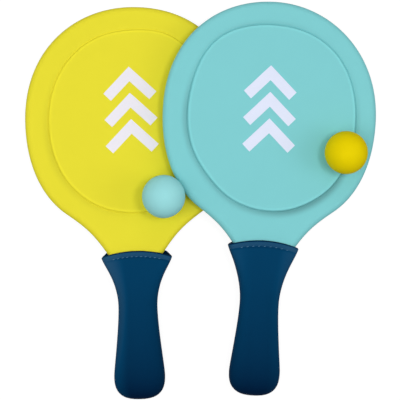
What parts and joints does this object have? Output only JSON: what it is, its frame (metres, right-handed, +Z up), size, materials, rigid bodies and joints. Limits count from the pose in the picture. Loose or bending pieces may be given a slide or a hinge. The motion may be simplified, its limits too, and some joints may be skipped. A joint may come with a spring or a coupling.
{
  "type": "beach paddle ball set",
  "caption": "Neoprene covered wooden beach paddles with raised oval faces, printed chevrons and soft navy handle sleeves, with rubber balls.",
  "frame": {"origin": "centre of the set's base, on the surface that it lies on", "axes": "+Z up, out of the printed faces; +Y from the handles towards the blades' tips; +X from the yellow paddle towards the aqua paddle"},
  "size_m": [0.3366, 0.3772, 0.0581],
  "materials": {
    "yellow_neoprene": "smooth matte knit-faced neoprene, moulded",
    "aqua_neoprene": "smooth matte knit-faced neoprene, moulded",
    "navy_neoprene": "matte neoprene, sewn, with a stitched hem",
    "print_white": "matte screen print film",
    "plywood": "sanded plywood, hidden",
    "cheek_wood": "sanded softwood, hidden",
    "yellow_rubber": "satin moulded rubber",
    "aqua_rubber": "satin moulded rubber"
  },
  "bodies": {
    "root": {"yellow_front_skin": "yellow_neoprene", "yellow_back_skin": "yellow_neoprene", "yellow_core_board": "plywood", "yellow_front_cheek": "cheek_wood", "yellow_back_cheek": "cheek_wood", "yellow_handle_sleeve": "navy_neoprene", "yellow_chevron_1": "print_white", "yellow_chevron_2": "print_white", "yellow_chevron_3": "print_white", "aqua_front_skin": "aqua_neoprene", "aqua_back_skin": "aqua_neoprene", "aqua_core_board": "plywood", "aqua_front_cheek": "cheek_wood", "aqua_back_cheek": "cheek_wood", "aqua_handle_sleeve": "navy_neoprene", "aqua_chevron_1": "print_white", "aqua_chevron_2": "print_white", "aqua_chevron_3": "print_white", "aqua_ball": "aqua_rubber", "yellow_ball": "yellow_rubber"}
  },
  "joints": []
}
